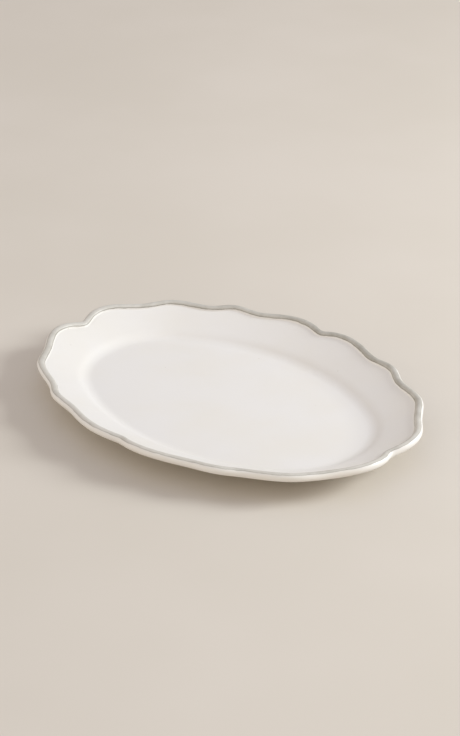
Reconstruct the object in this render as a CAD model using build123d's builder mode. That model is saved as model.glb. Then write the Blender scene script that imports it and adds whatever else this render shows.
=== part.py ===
from build123d import *
from math import atan2, cos, degrees, hypot, radians, sin, tan
import os

# An oval china serving platter, in millimetres.
# +Z is up, +X runs along the length, and the origin is on the table under the middle.
# Every shape is the same in all four quarters, so each is made once and mirrored.

# The well is a four-centred oval: a small arc round each end, a large one along each side.
WELL_HALF_LENGTH = 148.0
WELL_HALF_WIDTH = 94.0
END_RADIUS = 71.0
END_CENTRE = WELL_HALF_LENGTH - END_RADIUS
SIDE_CENTRE = (
    (END_CENTRE**2 - (WELL_HALF_WIDTH - END_RADIUS) ** 2)
    / (2 * (WELL_HALF_WIDTH - END_RADIUS))
)
SIDE_RADIUS = WELL_HALF_WIDTH + SIDE_CENTRE
END_ARC = degrees(atan2(SIDE_CENTRE, END_CENTRE))

# Heights and thickness of the dish.
FLOOR_TOP = 7.5
THICKNESS = 4.2
UNDERSIDE = FLOOR_TOP - THICKNESS

# From the floor the section climbs a hollow cove, a short wall and a rounded verge,
# then the marly slopes evenly out to the edge.
COVE_RADIUS = 18.0
WALL_ANGLE = 34.0
WALL_LENGTH = 1.0
VERGE_RADIUS = 40.0
MARLY_ANGLE = 24.0
MARLY_LENGTH = 48.0
MARLY_START_OUT = (
    (COVE_RADIUS + VERGE_RADIUS) * sin(radians(WALL_ANGLE))
    + WALL_LENGTH * cos(radians(WALL_ANGLE))
    - VERGE_RADIUS * sin(radians(MARLY_ANGLE))
)
MARLY_START_UP = (
    FLOOR_TOP
    + COVE_RADIUS * (1 - cos(radians(WALL_ANGLE)))
    + WALL_LENGTH * sin(radians(WALL_ANGLE))
    + VERGE_RADIUS * (cos(radians(MARLY_ANGLE)) - cos(radians(WALL_ANGLE)))
)

# The foot ring stands under the edge of the well; its standing edge is left unglazed.
FOOT_MIDDLE = -4.0
FOOT_ROOT_WIDTH = 10.0
FOOT_EDGE_WIDTH = 5.0
BARE_FOOT_HEIGHT = 1.2

# The edge is thickened all round into a bead, whose section is a circle centred this far
# out from the edge line and this far over the marly.
BEAD_CENTRE = (-1.0, -2.1)
BEAD_RADIUS = 3.9

# The skin of glaze, and the strip over the bead where it is coloured.
GLAZE = 0.4
BAND_INNER_SIDE = -5.3
BAND_OUTER_SIDE = 1.9
BAND_DEPTH = 3.0

# A quarter of the scalloped edge line seen from above, one notch on each axis. It crosses
# both axes square, so that it runs on smoothly when it is mirrored.
EDGE_LINE = (
    (190.9, 0.0),  # notch in the end
    (192.7, 6.5),
    (196.2, 20.4),  # end lobe
    (192.5, 39.4),
    (183.0, 53.9),
    (175.0, 64.1),  # hollow
    (165.8, 77.8),
    (157.2, 89.1),  # blunt shoulder
    (145.0, 97.6),
    (130.6, 104.2),  # middle hollow
    (116.0, 111.8),
    (102.9, 121.9),  # sharp shoulder
    (91.9, 126.2),
    (75.3, 129.1),  # hollow
    (53.9, 137.2),
    (27.0, 143.7),  # side lobe
    (6.9, 141.3),
    (0.0, 139.8),  # notch in the side
)
EDGE_ENDS = ((0, 1), (-1, 0))

# How far solids run on where another one will cut them.
OVERRUN = 20.0
TALL = 80.0
WIDE = 250.0

# How many steps a quarter of the edge is built in, from its section at each.
EDGE_SECTIONS = 36

os.makedirs("parts", exist_ok=True)


def outside_well(x, y):
    """How far a point lies outside the well's oval."""
    if y * END_CENTRE < (x - END_CENTRE) * SIDE_CENTRE:
        return hypot(x - END_CENTRE, y) - END_RADIUS
    return hypot(x, y + SIDE_CENTRE) - SIDE_RADIUS


def marly_height(x, y):
    """The height of the marly's top surface at a place seen from above."""
    rise = (outside_well(x, y) - MARLY_START_OUT) * tan(radians(MARLY_ANGLE))
    return MARLY_START_UP + rise


def dish_outline(well_radius, inset):
    """The dish's section, drawn as (distance from the arc's centre, height)."""
    inner_end = well_radius - OVERRUN
    top = FLOOR_TOP - inset
    bottom = UNDERSIDE + inset
    turn_back = MARLY_ANGLE - WALL_ANGLE
    with BuildLine() as outline:
        floor = Line((inner_end, top), (well_radius, top))
        cove = JernArc(floor @ 1, (1, 0), COVE_RADIUS + inset, WALL_ANGLE)
        wall = PolarLine(cove @ 1, WALL_LENGTH, WALL_ANGLE)
        verge = JernArc(wall @ 1, wall % 1, VERGE_RADIUS - inset, turn_back)
        marly = PolarLine(verge @ 1, MARLY_LENGTH, MARLY_ANGLE)
        base = Line((inner_end, bottom), (well_radius, bottom))
        under_cove = JernArc(base @ 1, (1, 0), COVE_RADIUS + THICKNESS - inset, WALL_ANGLE)
        under_wall = PolarLine(under_cove @ 1, WALL_LENGTH, WALL_ANGLE)
        under_verge = JernArc(
            under_wall @ 1, under_wall % 1, VERGE_RADIUS - THICKNESS + inset, turn_back
        )
        under_marly = PolarLine(under_verge @ 1, MARLY_LENGTH, MARLY_ANGLE)
        Line(marly @ 1, under_marly @ 1)
        Line(floor @ 0, base @ 0)
    return outline.line


def foot_outline(well_radius, inset):
    """The foot ring's section, tapering down to its standing edge."""
    middle = well_radius + FOOT_MIDDLE
    root = FOOT_ROOT_WIDTH / 2 - inset
    edge = FOOT_EDGE_WIDTH / 2 - inset
    inside_floor = UNDERSIDE + THICKNESS / 2
    with BuildLine() as outline:
        Polyline(
            (middle - root, inside_floor),
            (middle - root, UNDERSIDE),
            (middle - edge, 0),
            (middle + edge, 0),
            (middle + root, UNDERSIDE),
            (middle + root, inside_floor),
            close=True,
        )
    return outline.line


def dish_section(plane, well_radius, inset):
    """The section as a face, its surface `inset` under the finished one."""
    with BuildSketch(plane) as section:
        add(dish_outline(well_radius, inset))
        make_face()
        add(foot_outline(well_radius, inset))
        make_face()
    return section.sketch


def quarter_of_dish(inset):
    """A quarter of the dish, its surface `inset` under the finished one."""
    to_joint = Vector(END_CENTRE, SIDE_CENTRE).normalized()
    end_plane = Plane(origin=(END_CENTRE, 0, 0), x_dir=(1, 0, 0), z_dir=(0, -1, 0))
    side_plane = Plane(
        origin=(0, -SIDE_CENTRE, 0), x_dir=to_joint, z_dir=to_joint.rotate(Axis.Z, -90)
    )
    end_section = dish_section(end_plane, END_RADIUS, inset)
    side_section = dish_section(side_plane, SIDE_RADIUS, inset)
    with BuildPart() as quarter:
        add(end_section)
        revolve(axis=Axis((END_CENTRE, 0, 0), (0, 0, 1)), revolution_arc=END_ARC)
        add(side_section)
        revolve(axis=Axis((0, -SIDE_CENTRE, 0), (0, 0, 1)), revolution_arc=90 - END_ARC)
        with BuildSketch(Plane.XY.offset(UNDERSIDE + inset)):
            with BuildLine():
                Line((0, 0), (WELL_HALF_LENGTH - OVERRUN / 2, 0))
                CenterArc((END_CENTRE, 0), END_RADIUS - OVERRUN / 2, 0, END_ARC)
                side_arc = CenterArc(
                    (0, -SIDE_CENTRE), SIDE_RADIUS - OVERRUN / 2, END_ARC, 90 - END_ARC
                )
                Line(side_arc @ 1, (0, 0))
            make_face()
        extrude(amount=THICKNESS - 2 * inset)
    return quarter.part


def edge_from_above():
    """A quarter of the scalloped edge line."""
    with BuildLine() as edge:
        Spline(*EDGE_LINE, tangents=EDGE_ENDS)
    return edge.line


def across_edge(edge, part_way):
    """The plane standing across the edge, its x outward and its y up from the marly."""
    place = edge @ part_way
    along = edge % part_way
    outward = Vector(along.Y, -along.X)
    origin = (place.X, place.Y, marly_height(place.X, place.Y))
    return Plane(origin=origin, x_dir=outward, z_dir=-along)


def bead(plane, inset):
    """The bead's round section, its surface `inset` under the finished one."""
    with BuildSketch(plane) as section:
        with Locations(BEAD_CENTRE):
            Circle(BEAD_RADIUS - inset)
    return section.sketch


def band_zone(plane):
    """A section that takes in the bead's top side, where the glaze is coloured."""
    with BuildSketch(plane) as section:
        with BuildLine():
            Polyline(
                (BAND_INNER_SIDE, -BAND_DEPTH),
                (BAND_OUTER_SIDE, -BAND_DEPTH),
                (BAND_OUTER_SIDE, BAND_DEPTH),
                (BAND_INNER_SIDE, BAND_DEPTH),
                close=True,
            )
        make_face()
    return section.sketch


def quarter_of_edge(draw_section):
    """A quarter of something that follows the edge, from its section at each place."""
    edge = edge_from_above()
    planes = [across_edge(edge, step / EDGE_SECTIONS) for step in range(EDGE_SECTIONS + 1)]
    with BuildPart() as quarter:
        for plane in planes:
            add(draw_section(plane))
        loft()
    return quarter.part


def quarter_of_platter(inset):
    """A quarter of the whole platter, its surface `inset` under the finished one."""
    edge = edge_from_above()
    side_end = (-OVERRUN, (edge @ 1).Y)
    tip_end = ((edge @ 0).X, -OVERRUN)
    dish = quarter_of_dish(inset)
    edge_bead = quarter_of_edge(lambda plane: bead(plane, inset))
    with BuildPart() as quarter:
        add(dish)
        with BuildSketch():
            with BuildLine():
                add(edge)
                Polyline(edge @ 1, side_end, (-OVERRUN, -OVERRUN), tip_end, edge @ 0)
            make_face()
        extrude(amount=TALL, mode=Mode.INTERSECT)
        add(edge_bead)
    return quarter.part


def mirrored_all_round(quarter):
    """The full piece from its quarter."""
    with BuildPart() as whole:
        add(quarter)
        mirror(about=Plane.YZ)
        mirror(about=Plane.XZ)
    return whole.part


finished = quarter_of_platter(0)
fired_clay = quarter_of_platter(GLAZE)
coloured_zone = quarter_of_edge(band_zone)

# The coloured glaze over the bead.
with BuildPart() as band_quarter:
    add(finished)
    add(coloured_zone, mode=Mode.INTERSECT)
    add(fired_clay, mode=Mode.SUBTRACT)

# The white glaze falls into three: the band parts the face from the back, and the bare
# standing edge of the foot parts the back from the base inside it.
with BuildPart() as white_quarter:
    add(finished)
    add(fired_clay, mode=Mode.SUBTRACT)
    add(coloured_zone, mode=Mode.SUBTRACT)
    Box(2 * WIDE, 2 * WIDE, 2 * BARE_FOOT_HEIGHT, mode=Mode.SUBTRACT)
base_skin, back_skin, face_skin = white_quarter.part.solids().sort_by(SortBy.VOLUME)

with BuildPart() as clay_body:
    add(mirrored_all_round(fired_clay))
clay_body.part.label = "clay_body"
export_step(clay_body.part, "parts/clay_body.step")

with BuildPart() as face_glaze:
    add(mirrored_all_round(face_skin))
face_glaze.part.label = "face_glaze"
export_step(face_glaze.part, "parts/face_glaze.step")

with BuildPart() as back_glaze:
    add(mirrored_all_round(back_skin))
back_glaze.part.label = "back_glaze"
export_step(back_glaze.part, "parts/back_glaze.step")

with BuildPart() as base_glaze:
    add(mirrored_all_round(base_skin))
base_glaze.part.label = "base_glaze"
export_step(base_glaze.part, "parts/base_glaze.step")

with BuildPart() as rim_band:
    add(mirrored_all_round(band_quarter.part))
rim_band.part.label = "rim_band"
export_step(rim_band.part, "parts/rim_band.step")
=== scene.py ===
from math import asin, cos, degrees, radians, sin, tan

import bpy
import numpy as np
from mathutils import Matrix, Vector


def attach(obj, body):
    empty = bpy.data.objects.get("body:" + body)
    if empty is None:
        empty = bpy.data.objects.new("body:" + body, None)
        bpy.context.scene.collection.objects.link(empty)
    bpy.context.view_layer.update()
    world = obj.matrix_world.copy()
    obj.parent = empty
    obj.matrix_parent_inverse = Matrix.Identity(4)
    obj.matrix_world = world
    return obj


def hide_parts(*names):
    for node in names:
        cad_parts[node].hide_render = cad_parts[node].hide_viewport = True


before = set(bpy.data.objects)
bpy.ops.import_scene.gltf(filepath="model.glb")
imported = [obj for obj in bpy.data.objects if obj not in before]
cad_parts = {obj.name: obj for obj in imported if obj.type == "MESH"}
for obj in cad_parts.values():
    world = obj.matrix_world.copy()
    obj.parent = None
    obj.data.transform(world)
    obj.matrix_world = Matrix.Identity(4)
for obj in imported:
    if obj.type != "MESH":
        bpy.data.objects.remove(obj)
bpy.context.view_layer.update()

# ---------------------------------------------------------------------------------------
# The platter's shape, in millimetres, as in the CAD part: +Z up, +X along its length.
# ---------------------------------------------------------------------------------------
MM = 0.001

# The well is an oval of four arcs, one at each end and side. The end arc's centre is on the
# long axis, the side arc's on the short one, beyond the middle, so that the two meet smoothly.
WELL_HALF_LENGTH = 148.0
WELL_HALF_WIDTH = 94.0
END_RADIUS = 71.0
END_CENTRE = WELL_HALF_LENGTH - END_RADIUS
SIDE_CENTRE = (
    (END_CENTRE**2 - (WELL_HALF_WIDTH - END_RADIUS) ** 2)
    / (2 * (WELL_HALF_WIDTH - END_RADIUS))
)
SIDE_RADIUS = WELL_HALF_WIDTH + SIDE_CENTRE

# The way up from the well's floor: an arc, the straight wall, an arc back and the marly.
FLOOR_TOP = 7.5
THICKNESS = 4.2
UNDERSIDE = FLOOR_TOP - THICKNESS
COVE_RADIUS = 18.0
WALL_ANGLE = radians(34.0)
WALL_LENGTH = 1.0
VERGE_RADIUS = 40.0
MARLY_ANGLE = radians(24.0)
MARLY_SLOPE = tan(MARLY_ANGLE)
MARLY_START_OUT = (
    (COVE_RADIUS + VERGE_RADIUS) * sin(WALL_ANGLE)
    + WALL_LENGTH * cos(WALL_ANGLE)
    - VERGE_RADIUS * sin(MARLY_ANGLE)
)
MARLY_START_UP = (
    FLOOR_TOP
    + COVE_RADIUS * (1 - cos(WALL_ANGLE))
    + WALL_LENGTH * sin(WALL_ANGLE)
    + VERGE_RADIUS * (cos(MARLY_ANGLE) - cos(WALL_ANGLE))
)

# The foot ring, as distances out from the well's oval, and how high its bare edge is.
FOOT_MIDDLE = -4.0
FOOT_ROOT_WIDTH = 10.0
FOOT_EDGE_WIDTH = 5.0
BARE_FOOT_HEIGHT = 1.2

# The edge bead's circle: its centre as (out from the edge line, up from the marly there).
BEAD_CENTRE = np.array((-1.0, -2.1))
BEAD_RADIUS = 3.9
# How far out from the edge line the painted band starts and ends.
BAND_INNER_SIDE = -5.3
BAND_OUTER_SIDE = 1.9
GLAZE = 0.4

# A quarter of the scalloped edge line from above. It crosses both axes square.
EDGE_LINE = np.array(
    (
        (190.9, 0.0),  # notch in the end
        (192.7, 6.5),
        (196.2, 20.4),  # end lobe
        (192.5, 39.4),
        (183.0, 53.9),
        (175.0, 64.1),  # hollow
        (165.8, 77.8),
        (157.2, 89.1),  # blunt shoulder
        (145.0, 97.6),
        (130.6, 104.2),  # middle hollow
        (116.0, 111.8),
        (102.9, 121.9),  # sharp shoulder
        (91.9, 126.2),
        (75.3, 129.1),  # hollow
        (53.9, 137.2),
        (27.0, 143.7),  # side lobe
        (6.9, 141.3),
        (0.0, 139.8),  # notch in the side
    )
)
EDGE_ENDS = np.array(((0.0, 1.0), (-1.0, 0.0)))

# Between these distances inside the edge line, the rows turn from following the marly to
# following the edge.
BLEND_INNER = 8.0
BLEND_OUTER = 5.0

# How far the glaze rounds the corners of the edge and foot, and those of the dish.
GLAZE_SOFTENING = 0.3
DISH_SOFTENING = 0.8
# How far the glaze's end turns up where it stops on the foot, and how far the foot's rows
# run in over the base.
GLAZE_TURN_UP = 0.1
BASE_RUN = 6.0

# How finely the meshes are cut: columns in a quarter, the step along a section, and how
# many steps of the section there are to a row.
QUARTER_COLUMNS = 190
SECTION_STEP = 0.1
EDGE_ROW_STEPS = 4
DISH_ROW_STEPS = 7
FOOT_ROW_STEPS = 4
BEAD_POINTS = 130
COVE_POINTS = 40
VERGE_POINTS = 30
MARLY_ROWS = 26
FLOOR_ROWS = 44
BASE_ROWS = 40
# How large the innermost row is beside the outline that it shrinks from.
MIDDLE_SHARE = 0.02


def smooth_curve(points, ends, count):
    """Even steps along the cubic spline through some points that sets off and arrives in
    given directions, and the curve's direction at each."""
    chord = np.hypot(*np.diff(points, axis=0).T)
    knots = np.concatenate(([0.0], np.cumsum(chord)))
    rise = np.diff(points, axis=0) / chord[:, None]
    size = len(points)
    matrix = np.zeros((size, size))
    right = np.zeros((size, 2))
    matrix[0, :2] = (2 * chord[0], chord[0])
    right[0] = 6 * (rise[0] - ends[0])
    matrix[-1, -2:] = (chord[-1], 2 * chord[-1])
    right[-1] = 6 * (ends[1] - rise[-1])
    for i in range(1, size - 1):
        matrix[i, i - 1 : i + 2] = (chord[i - 1], 2 * (chord[i - 1] + chord[i]), chord[i])
        right[i] = 6 * (rise[i] - rise[i - 1])
    bend = np.linalg.solve(matrix, right)
    places = np.linspace(0, knots[-1], count)
    span = np.clip(np.searchsorted(knots, places, side="right") - 1, 0, size - 2)
    length = chord[span][:, None]
    behind = (places - knots[span])[:, None] / length
    ahead = 1 - behind
    curve = (
        ahead * points[span]
        + behind * points[span + 1]
        + ((ahead**3 - ahead) * bend[span] + (behind**3 - behind) * bend[span + 1])
        * length**2
        / 6
    )
    direction = (
        rise[span]
        + ((1 - 3 * ahead**2) * bend[span] + (3 * behind**2 - 1) * bend[span + 1]) * length / 6
    )
    return curve, direction / np.hypot(*direction.T)[:, None]


def faces_end(x, y):
    """Whether points in the first quarter face the oval's end arc, not its side arc."""
    return y * END_CENTRE < (x - END_CENTRE) * SIDE_CENTRE


def outside_well(x, y):
    """How far points lie outside the well's oval, for points in the first quarter."""
    from_end = np.hypot(x - END_CENTRE, y) - END_RADIUS
    from_side = np.hypot(x, y + SIDE_CENTRE) - SIDE_RADIUS
    return np.where(faces_end(x, y), from_end, from_side)


def marly_height(x, y):
    """The height of the marly's top surface at places seen from above."""
    return MARLY_START_UP + (outside_well(x, y) - MARLY_START_OUT) * MARLY_SLOPE


edge_xy, edge_along = smooth_curve(EDGE_LINE, EDGE_ENDS, QUARTER_COLUMNS + 1)
edge_outward = np.stack((edge_along[:, 1], -edge_along[:, 0]), axis=1)
edge_height = marly_height(*edge_xy.T)


def edge_row(outward, upward):
    """A quarter row of the edge: the edge line moved out and up. Well inside the bead it
    follows the marly instead."""
    x, y = (edge_xy + outward * edge_outward).T
    moulded = edge_height + upward
    following = marly_height(x, y) + upward - MARLY_SLOPE * outward
    share = np.clip((outward + BLEND_INNER) / (BLEND_INNER - BLEND_OUTER), 0, 1)
    share = share * share * (3 - 2 * share)
    return np.stack((x, y, share * moulded + (1 - share) * following), axis=1)


def oval_row(outward, height):
    """A quarter row parallel to the well's oval, in step with the edge's columns."""
    x, y = edge_xy.T
    at_end = faces_end(x, y)
    end_angle = np.arctan2(y, x - END_CENTRE)
    side_angle = np.arctan2(y + SIDE_CENTRE, x)
    end_x = END_CENTRE + (END_RADIUS + outward) * np.cos(end_angle)
    end_y = (END_RADIUS + outward) * np.sin(end_angle)
    side_x = (SIDE_RADIUS + outward) * np.cos(side_angle)
    side_y = (SIDE_RADIUS + outward) * np.sin(side_angle) - SIDE_CENTRE
    row_x = np.where(at_end, end_x, side_x)
    row_y = np.where(at_end, end_y, side_y)
    return np.stack((row_x, row_y, np.full_like(row_x, height)), axis=1)


def walked(points):
    """How far along a line of points each one lies."""
    return np.concatenate(([0.0], np.cumsum(np.hypot(*np.diff(points, axis=0).T))))


def resampled(points):
    """A line of points walked in even steps."""
    points = np.array(points)
    distance = walked(points)
    count = max(2, int(round(distance[-1] / SECTION_STEP)) + 1)
    places = np.linspace(0, distance[-1], count)
    return np.stack([np.interp(places, distance, points[:, i]) for i in (0, 1)], axis=1)


def softened(points, reach):
    """A line of points in even steps, its corners rounded as glaze rounds them: each point
    is averaged with its neighbours under a bell curve, followed out to four times its reach."""
    points = resampled(points)
    steps = int(4 * reach / SECTION_STEP)
    weights = np.exp(-0.5 * (np.arange(-steps, steps + 1) * SECTION_STEP / reach) ** 2)
    weights /= weights.sum()
    padded = np.concatenate(
        (
            points[0] + (points[0] - points[steps:0:-1]),
            points,
            points[-1] + (points[-1] - points[-2 : -steps - 2 : -1]),
        )
    )
    return np.stack([np.convolve(padded[:, i], weights, "valid") for i in (0, 1)], axis=1)


def arc(centre, radius, start, end, count):
    """Points along an arc, angles in degrees."""
    angles = np.radians(np.linspace(start, end, count))
    return [(centre[0] + radius * cos(a), centre[1] + radius * sin(a)) for a in angles]


def bead_meets_marly(drop):
    """Where, in degrees round the bead, its inner side meets the marly's surface, `drop`
    under the top."""
    off_centre = BEAD_CENTRE[1] - (BEAD_CENTRE[0] * MARLY_SLOPE - drop)
    distance = off_centre * cos(MARLY_ANGLE)
    return 180 + degrees(MARLY_ANGLE + asin(distance / BEAD_RADIUS))


def edge_section():
    """The outline of the edge, as (outward, upward), from the marly's top round the bead
    to the marly's underside."""
    under_drop = THICKNESS / cos(MARLY_ANGLE)
    points = [(-BLEND_INNER, -BLEND_INNER * MARLY_SLOPE)]
    points += arc(
        BEAD_CENTRE,
        BEAD_RADIUS,
        bead_meets_marly(0),
        bead_meets_marly(under_drop) - 360,
        BEAD_POINTS,
    )
    points += [(-BLEND_INNER, -BLEND_INNER * MARLY_SLOPE - under_drop)]
    return softened(points, GLAZE_SOFTENING)


def dish_section(top):
    """The cove, wall and verge as (outside the well, height), on the top or the underside."""
    if top:
        cove, verge, start = COVE_RADIUS, VERGE_RADIUS, FLOOR_TOP
    else:
        cove, verge, start = COVE_RADIUS + THICKNESS, VERGE_RADIUS - THICKNESS, UNDERSIDE
    wall_degrees = degrees(WALL_ANGLE)
    marly_degrees = degrees(MARLY_ANGLE)
    points = arc((0, start + cove), cove, -90, wall_degrees - 90, COVE_POINTS)
    wall_end = (
        points[-1][0] + WALL_LENGTH * cos(WALL_ANGLE),
        points[-1][1] + WALL_LENGTH * sin(WALL_ANGLE),
    )
    verge_centre = (
        wall_end[0] + verge * sin(WALL_ANGLE),
        wall_end[1] - verge * cos(WALL_ANGLE),
    )
    points += arc(verge_centre, verge, wall_degrees + 90, marly_degrees + 90, VERGE_POINTS)
    return softened(points, DISH_SOFTENING)


def all_round(quarter):
    """A closed row from its quarter, mirrored in both axes."""
    last_left = quarter[-2::-1] * (-1, 1, 1)
    left_front = quarter[1:] * (-1, -1, 1)
    front_right = quarter[-2:0:-1] * (1, -1, 1)
    return np.concatenate((quarter, last_left, left_front, front_right))


# ---------------------------------------------------------------------------------------
# Rows of the finished surface, from the middle of the floor out over the edge and back
# underneath to the middle of the base.
# ---------------------------------------------------------------------------------------
def middle_rows(outline, count):
    """Rows filling the flat inside an outline, as shrinking copies of it."""
    return [outline * (share, share, 1) for share in np.linspace(1, MIDDLE_SHARE, count)[1:]]


def marly_rows(inner, outer, drop):
    """Rows on the marly between two others, `drop` under its top surface."""
    rows = []
    for share in np.linspace(0, 1, MARLY_ROWS + 2)[1:-1]:
        row = inner + (outer - inner) * share
        row[:, 2] = marly_height(row[:, 0], row[:, 1]) - drop
        rows.append(row)
    return rows


def foot_side(inward):
    """One side of the foot from its root down to where the glaze stops."""
    side = -1 if inward else 1
    root = FOOT_MIDDLE + side * FOOT_ROOT_WIDTH / 2
    edge = FOOT_MIDDLE + side * FOOT_EDGE_WIDTH / 2
    bare = BARE_FOOT_HEIGHT / UNDERSIDE
    glaze_end = (edge + (root - edge) * bare, BARE_FOOT_HEIGHT)
    turned_up = (glaze_end[0] - side * GLAZE, BARE_FOOT_HEIGHT + GLAZE_TURN_UP)
    return (root, UNDERSIDE), glaze_end, turned_up


# The edge's section, and where on it the bead is highest and the band starts and ends.
section = edge_section()
crown = int(np.argmax(section[:, 1]))
band_start = int(np.argmax(section[:, 0] > BAND_INNER_SIDE))
band_end = crown + int(np.argmax(section[crown:, 0] > BAND_OUTER_SIDE))


def edge_stops(start, end):
    """Where the rows are, between two places on the edge's section."""
    count = max(2, int(round((end - start) / EDGE_ROW_STEPS)))
    return [int(round(stop)) for stop in np.linspace(start, end, count + 1)]


def edge_rows(start, end):
    """Rows of the edge between two places on its section."""
    return [edge_row(*section[stop]) for stop in edge_stops(start, end)]


def face_rows():
    """The eating side: floor, cove, wall, verge and marly, up to the band."""
    rows = middle_rows(oval_row(0, FLOOR_TOP), FLOOR_ROWS)[::-1]
    rows += [oval_row(*place) for place in dish_section(True)[::DISH_ROW_STEPS]]
    edge = edge_rows(0, band_start)
    rows += marly_rows(rows[-1], edge[0], 0)
    return rows + edge


def back_rows():
    """The bead's outer side, the underside of the marly and dish, and the foot's outer side."""
    rows = edge_rows(band_end, len(section) - 1)
    foot_root = FOOT_MIDDLE + FOOT_ROOT_WIDTH / 2
    side = dish_section(False)[::-1][::DISH_ROW_STEPS]
    side = [place for place in side if place[0] > foot_root + GLAZE]
    under = [oval_row(*place) for place in side]
    rows += marly_rows(rows[-1], under[0], THICKNESS / cos(MARLY_ANGLE))
    rows += under
    foot = softened([side[-1], *foot_side(False)], GLAZE_SOFTENING)[::FOOT_ROW_STEPS]
    return rows + [oval_row(*place) for place in foot[1:]]


def base_rows():
    """The foot's inner side and the base."""
    root, glaze_end, turned_up = foot_side(True)
    line = [turned_up, glaze_end, root, (root[0] - BASE_RUN, UNDERSIDE)]
    foot = softened(line, GLAZE_SOFTENING)[::FOOT_ROW_STEPS]
    rows = [oval_row(*place) for place in foot]
    return rows + middle_rows(rows[-1], BASE_ROWS)


# ---------------------------------------------------------------------------------------
# Meshes.
# ---------------------------------------------------------------------------------------
def add_to_scene(name, data):
    """A new object that shows some data."""
    thing = bpy.data.objects.new(name, data)
    bpy.context.scene.collection.objects.link(thing)
    return thing


def ring_faces(index):
    """Four-sided faces joining each closed row of points to the next."""
    after = np.roll(index, -1, axis=1)
    faces = np.stack((index[:-1], index[1:], after[1:], after[:-1]), axis=-1)
    return faces.reshape(-1, 4).tolist()


def fan_faces(hub, ring):
    """Triangles joining a closed row of points to one in its middle."""
    return [(hub, int(a), int(b)) for a, b in zip(ring, np.roll(ring, -1))]


def sheet(name, rows, cap_start=False, cap_end=False, across=None):
    """A smooth piece from its quarter rows, closed at the middle where asked. `across`
    gives each row's place across the piece to the material."""
    rings = np.array([all_round(row) for row in rows]) * MM
    row_count, column_count, _ = rings.shape
    index = np.arange(row_count * column_count).reshape(row_count, column_count)
    points = rings.reshape(-1, 3).tolist()
    faces = ring_faces(index)
    if cap_start:
        points.append((0.0, 0.0, float(rings[0, 0, 2])))
        faces += fan_faces(len(points) - 1, index[0])
    if cap_end:
        points.append((0.0, 0.0, float(rings[-1, 0, 2])))
        faces += [face[::-1] for face in fan_faces(len(points) - 1, index[-1])]
    mesh = bpy.data.meshes.new(name)
    mesh.from_pydata(points, [], faces)
    mesh.shade_smooth()
    if across is not None:
        attribute = mesh.attributes.new("across", "FLOAT", "POINT")
        attribute.data.foreach_set("value", np.repeat(across, column_count).astype(np.float32))
    mesh.update()
    return add_to_scene(name, mesh)


# ---------------------------------------------------------------------------------------
# Materials.
# ---------------------------------------------------------------------------------------
class Nodes:
    """A short way to write the nodes of a material or a world."""

    def __init__(self, owner):
        owner.use_nodes = True
        self.owner = owner
        self.tree = owner.node_tree
        self.tree.nodes.clear()

    def add(self, kind, settings=(), **inputs):
        node = self.tree.nodes.new(kind)
        for key, value in dict(settings).items():
            setattr(node, key, value)
        for key, value in inputs.items():
            self.feed(node.inputs[key.replace("_", " ")], value)
        return node

    def feed(self, socket, value):
        if isinstance(value, bpy.types.NodeSocket):
            self.tree.links.new(value, socket)
        else:
            socket.default_value = value

    def noise(self, place, scale, detail=2.0, roughness=0.5):
        node = self.add(
            "ShaderNodeTexNoise", Vector=place, Scale=scale, Detail=detail, Roughness=roughness
        )
        return node.outputs["Fac"]

    def spread(self, value, low, high, to_low, to_high):
        node = self.add("ShaderNodeMapRange", {"interpolation_type": "SMOOTHSTEP"})
        for key, number in zip(
            ("Value", "From Min", "From Max", "To Min", "To Max"),
            (value, low, high, to_low, to_high),
        ):
            self.feed(node.inputs[key], number)
        return node.outputs["Result"]

    def maths(self, operation, first, second=0.0, third=0.0):
        node = self.add("ShaderNodeMath", {"operation": operation})
        for socket, value in zip(node.inputs, (first, second, third)):
            self.feed(socket, value)
        return node.outputs[0]

    def blend(self, share, first, second):
        node = self.add("ShaderNodeMix", {"data_type": "RGBA"})
        self.feed(node.inputs["Factor"], share)
        self.feed(node.inputs["A"], first)
        self.feed(node.inputs["B"], second)
        return node.outputs["Result"]

    def vector_maths(self, operation, first, second):
        node = self.add("ShaderNodeVectorMath", {"operation": operation})
        self.feed(node.inputs[0], first)
        self.feed(node.inputs[1], second)
        return node.outputs["Value"]

    def place(self):
        return self.add("ShaderNodeTexCoord").outputs["Object"]

    def finish(self, **inputs):
        shader = self.add("ShaderNodeBsdfPrincipled", **inputs)
        self.add("ShaderNodeOutputMaterial", Surface=shader.outputs["BSDF"])
        return self.owner


def linear(red, green, blue):
    """A linear colour, fully opaque, from 0-255 screen values."""
    parts = [((value / 255 + 0.055) / 1.055) ** 2.4 for value in (red, green, blue)]
    return (*parts, 1.0)


GLAZE_WHITE = linear(232, 230, 228)
GLAZE_WARM = linear(231, 228, 223)
GLAZE_SPECK = linear(204, 198, 189)
BAND_GREY = linear(200, 197, 190)
BAND_DARK = linear(150, 147, 138)
# Painted shade: the colour of the darker line in the crease at the bead's foot.
BAND_SHADE_LINE = linear(126, 121, 111)
BISQUE = linear(226, 217, 203)
BISQUE_RUBBED = linear(196, 184, 166)
TABLE = linear(215, 208, 199)
TABLE_CLOUDS = linear(211, 204, 194)
WALL = linear(218, 214, 212)

GLAZE_INDEX = 1.5
CLAY_INDEX = 1.45
TABLE_INDEX = 1.4

# The painted band, in millimetres measured in from its two sides: how far its sides stray,
# where its colour sets in, and where its darker outer line and the painted shade at the bead's
# foot lie.
BAND_WANDER = 0.4
BAND_DRIFT = 0.3
INNER_FADE = (1.3, 2.0)
OUTER_FADE = (0.1, 0.9)
INNER_SHADE_LINE = (2.1, 3.0)
OUTER_LINE = (0.4, 1.6)
# The place on the rim's +Y side, in metres, round which the grey is deepest, and how far round
# it stays deep.
DEEP_GREY_CENTRE = (0.03, 0.14, 0.02)
DEEP_GREY_REACH = (0.05, 0.22)


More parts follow.
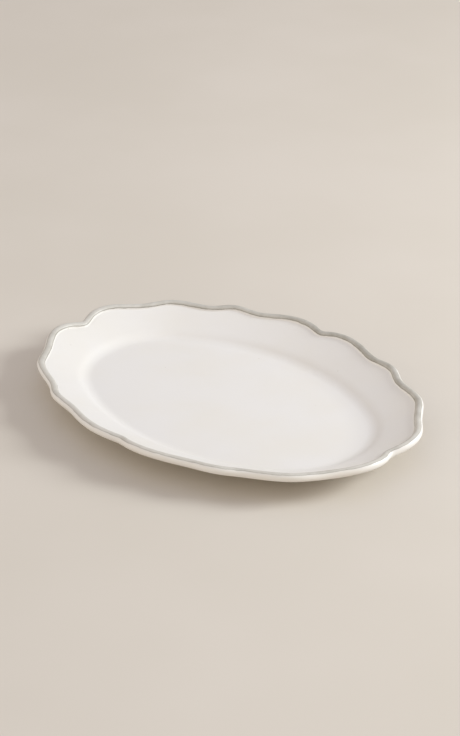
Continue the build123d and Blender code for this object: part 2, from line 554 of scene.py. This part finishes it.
def glaze_finish(nodes, place):
    """The glaze's own roughness and its slight waviness and orange peel."""
    waves = nodes.noise(place, 26.0, 1.0)
    peel = nodes.noise(place, 420.0, 1.0)
    height = nodes.maths("MULTIPLY_ADD", peel, 0.03, waves)
    bump = nodes.add("ShaderNodeBump", Height=height, Strength=0.35, Distance=0.0006)
    roughness = nodes.spread(nodes.noise(place, 60.0, 3.0), 0.3, 0.7, 0.34, 0.46)
    return bump.outputs["Normal"], roughness


def white_glaze_colour(nodes, place):
    """White with faint warmer clouds and rare pin-point specks."""
    clouds = nodes.spread(nodes.noise(place, 14.0, 3.0), 0.35, 0.75, 0.0, 1.0)
    white = nodes.blend(clouds, GLAZE_WHITE, GLAZE_WARM)
    cells = nodes.add("ShaderNodeTexVoronoi", Vector=place, Scale=55.0, Randomness=1.0)
    speck = nodes.spread(cells.outputs["Distance"], 0.018, 0.035, 1.0, 0.0)
    chosen = nodes.maths("GREATER_THAN", nodes.noise(place, 30.0, 0.0), 0.66)
    return nodes.blend(nodes.maths("MULTIPLY", speck, chosen), white, GLAZE_SPECK)


def make_white_glaze():
    """The plain white glaze."""
    nodes = Nodes(bpy.data.materials.new("white_glaze"))
    place = nodes.place()
    normal, roughness = glaze_finish(nodes, place)
    colour = white_glaze_colour(nodes, place)
    return nodes.finish(
        Base_Color=colour, Roughness=roughness, Normal=normal, IOR=GLAZE_INDEX
    )


def make_band_glaze(width):
    """Grey laid on by brush, uneven at both sides and darker along its outer side, with painted
    shade in the crease at the bead's foot, and deepest round one place on the rim's +Y side."""
    nodes = Nodes(bpy.data.materials.new("grey_glaze"))
    place = nodes.place()
    normal, roughness = glaze_finish(nodes, place)
    across = nodes.add("ShaderNodeAttribute", {"attribute_name": "across"}).outputs["Fac"]
    wander = nodes.spread(nodes.noise(place, 95.0, 3.0), 0.2, 0.8, -BAND_WANDER, BAND_WANDER)
    drift = nodes.spread(nodes.noise(place, 7.0, 1.0), 0.35, 0.65, 0.0, BAND_DRIFT)
    from_inner = nodes.maths("ADD", across, wander)
    to_outer = nodes.maths("SUBTRACT", width, nodes.maths("ADD", across, drift))
    from_outer = nodes.maths("ADD", to_outer, wander)

    inner = nodes.spread(from_inner, *INNER_FADE, 0.0, 1.0)
    outer = nodes.spread(from_outer, *OUTER_FADE, 0.0, 1.0)
    strokes = nodes.spread(nodes.noise(place, 130.0, 4.0, 0.6), 0.3, 0.7, 0.8, 1.0)
    cover = nodes.maths("MULTIPLY", nodes.maths("MULTIPLY", inner, outer), strokes)

    # A darker line along the band's outer side, on the bead's outer face.
    outer_dark_line = nodes.spread(from_outer, *OUTER_LINE, 1.0, 0.0)
    # Painted shade: a darker line in the crease where the bead rises from the marly.
    inner_shade_line = nodes.spread(from_inner, *INNER_SHADE_LINE, 0.9, 0.0)
    # The grey is deepest round one place on the rim's +Y side and pales further round.
    from_start = nodes.vector_maths("DISTANCE", place, DEEP_GREY_CENTRE)
    deep_round_centre = nodes.spread(from_start, *DEEP_GREY_REACH, 0.55, 0.0)
    patches = nodes.spread(nodes.noise(place, 45.0, 2.0), 0.35, 0.7, -0.12, 0.25)
    depth = nodes.maths("ADD", nodes.maths("MAXIMUM", deep_round_centre, outer_dark_line), patches)
    pigment = nodes.blend(depth, BAND_GREY, BAND_DARK)
    pigment = nodes.blend(inner_shade_line, pigment, BAND_SHADE_LINE)

    colour = nodes.blend(cover, white_glaze_colour(nodes, place), pigment)
    return nodes.finish(
        Base_Color=colour, Roughness=roughness, Normal=normal, IOR=GLAZE_INDEX
    )


def make_bisque():
    """Bare fired clay: matt, finely granular, rubbed a little darker where it stands."""
    nodes = Nodes(bpy.data.materials.new("fired_clay"))
    place = nodes.place()
    grain = nodes.noise(place, 900.0, 4.0, 0.7)
    rubbed = nodes.spread(nodes.noise(place, 120.0, 3.0), 0.45, 0.75, 0.0, 0.6)
    colour = nodes.blend(rubbed, BISQUE, BISQUE_RUBBED)
    bump = nodes.add("ShaderNodeBump", Height=grain, Strength=0.5, Distance=0.0003)
    return nodes.finish(
        Base_Color=colour, Roughness=0.85, Normal=bump.outputs["Normal"], IOR=CLAY_INDEX
    )


def make_table_finish():
    """Plain, pale and matt, with faint clouds."""
    nodes = Nodes(bpy.data.materials.new("pale_floor"))
    place = nodes.place()
    clouds = nodes.spread(nodes.noise(place, 3.0, 3.0), 0.3, 0.7, 0.0, 1.0)
    colour = nodes.blend(clouds, TABLE, TABLE_CLOUDS)
    return nodes.finish(Base_Color=colour, Roughness=0.9, IOR=TABLE_INDEX)


# ---------------------------------------------------------------------------------------
# The pieces.
# ---------------------------------------------------------------------------------------
def add_piece(piece, node, material):
    """Give a piece its material, hang it on the root and hide the CAD node whose place it
    takes.
    """
    piece.data.materials.append(material)
    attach(piece, "root")
    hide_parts(node)


def make_face(white_glaze):
    """The white glaze over the eating side."""
    face = sheet("glazed_face", face_rows(), cap_start=True)
    add_piece(face, "face_glaze", white_glaze)


def make_band():
    """The painted band, with the glaze that goes with its width."""
    stops = edge_stops(band_start, band_end)
    across = walked(section)[stops]
    across -= across[0]
    band = sheet("painted_band", edge_rows(band_start, band_end), across=across)
    add_piece(band, "rim_band", make_band_glaze(float(across[-1])))


def make_back(white_glaze):
    """The white glaze over the bead's outer side and the underside, down to the foot."""
    back = sheet("glazed_back", back_rows())
    add_piece(back, "back_glaze", white_glaze)


def make_base(white_glaze):
    """The white glaze inside the foot ring."""
    base = sheet("glazed_base", base_rows(), cap_end=True)
    add_piece(base, "base_glaze", white_glaze)


def dress_clay():
    """The CAD clay body, of which only the foot's standing edge shows."""
    bisque = make_bisque()
    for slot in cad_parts["clay_body"].material_slots:
        slot.material = bisque


# ---------------------------------------------------------------------------------------
# Table, light and camera, in metres. The lens and sensor are in millimetres.
# ---------------------------------------------------------------------------------------
TABLE_REACH = 6.0

KEY_PLACE = Vector((1.971, 1.770, 1.408))
KEY_SIZE = 1.1
KEY_POWER = 75.5
KEY_COLOUR = (0.95, 0.995, 1.0)
KEY_SHINE = 0.4

HORIZON = (0.53, 0.43, 0.27, 1.0)
ZENITH = (0.54, 0.55, 0.64, 1.0)
FILL = (0.68, 0.63, 0.54, 1.0)
FILL_SIDE = (-0.325, -0.946, 0.0)

CAMERA_PLACE = Vector((1.0106, -1.1205, 0.8318))
CAMERA_HEADING = Vector((-0.6680, 0.7441))
CAMERA_PITCH = radians(27.62)
LENS = 89.99
SENSOR = 36.0


def make_table():
    """The plain surface that the platter stands on."""
    low, high = -TABLE_REACH, TABLE_REACH
    corners = [(low, low, 0), (high, low, 0), (high, high, 0), (low, high, 0)]
    mesh = bpy.data.meshes.new("pale_floor")
    mesh.from_pydata(corners, [], [(0, 1, 2, 3)])
    mesh.materials.append(make_table_finish())
    add_to_scene("pale_floor", mesh)


def make_key_light():
    """A soft square light, high up behind the platter on its right."""
    data = bpy.data.lights.new("key", "AREA")
    data.shape = "SQUARE"
    data.size = KEY_SIZE
    data.energy = KEY_POWER
    data.color = KEY_COLOUR
    data.specular_factor = KEY_SHINE
    lamp = add_to_scene("key", data)
    lamp.location = KEY_PLACE
    lamp.rotation_euler = (-KEY_PLACE).to_track_quat("-Z", "Y").to_euler()


def make_studio():
    """Soft light from all round, warm from the sides and cooler from overhead, fullest in
    front on the left. The camera itself sees a plain pale wall."""
    world = bpy.data.worlds.new("studio")
    nodes = Nodes(world)
    direction = nodes.add("ShaderNodeTexCoord").outputs["Generated"]
    height = nodes.add("ShaderNodeSeparateXYZ", Vector=direction).outputs["Z"]
    facing = nodes.vector_maths("DOT_PRODUCT", direction, FILL_SIDE)
    fill_share = nodes.maths("MAXIMUM", facing, 0.0)
    sky = nodes.add("ShaderNodeBackground", Color=nodes.blend(height, HORIZON, ZENITH))
    fill = nodes.add("ShaderNodeBackground", Color=FILL, Strength=fill_share)
    light = nodes.add("ShaderNodeAddShader")
    nodes.feed(light.inputs[0], sky.outputs[0])
    nodes.feed(light.inputs[1], fill.outputs[0])
    wall = nodes.add("ShaderNodeBackground", Color=WALL)
    seen = nodes.add("ShaderNodeMixShader")
    nodes.feed(seen.inputs[0], nodes.add("ShaderNodeLightPath").outputs["Is Camera Ray"])
    nodes.feed(seen.inputs[1], light.outputs[0])
    nodes.feed(seen.inputs[2], wall.outputs[0])
    nodes.add("ShaderNodeOutputWorld", Surface=seen.outputs[0])
    bpy.context.scene.world = world


def make_camera():
    """The camera, above the table and looking down along the heading."""
    data = bpy.data.cameras.new("camera")
    data.lens = LENS
    data.sensor_width = SENSOR
    level = CAMERA_HEADING.normalized() * cos(CAMERA_PITCH)
    view = Vector((level.x, level.y, -sin(CAMERA_PITCH)))
    camera = add_to_scene("camera", data)
    camera.location = CAMERA_PLACE
    camera.rotation_euler = view.to_track_quat("-Z", "Y").to_euler()
    bpy.context.scene.camera = camera


white_glaze = make_white_glaze()
make_face(white_glaze)
make_band()
make_back(white_glaze)
make_base(white_glaze)
dress_clay()
make_table()
make_key_light()
make_studio()
make_camera()
bpy.context.scene.view_settings.view_transform = "Standard"
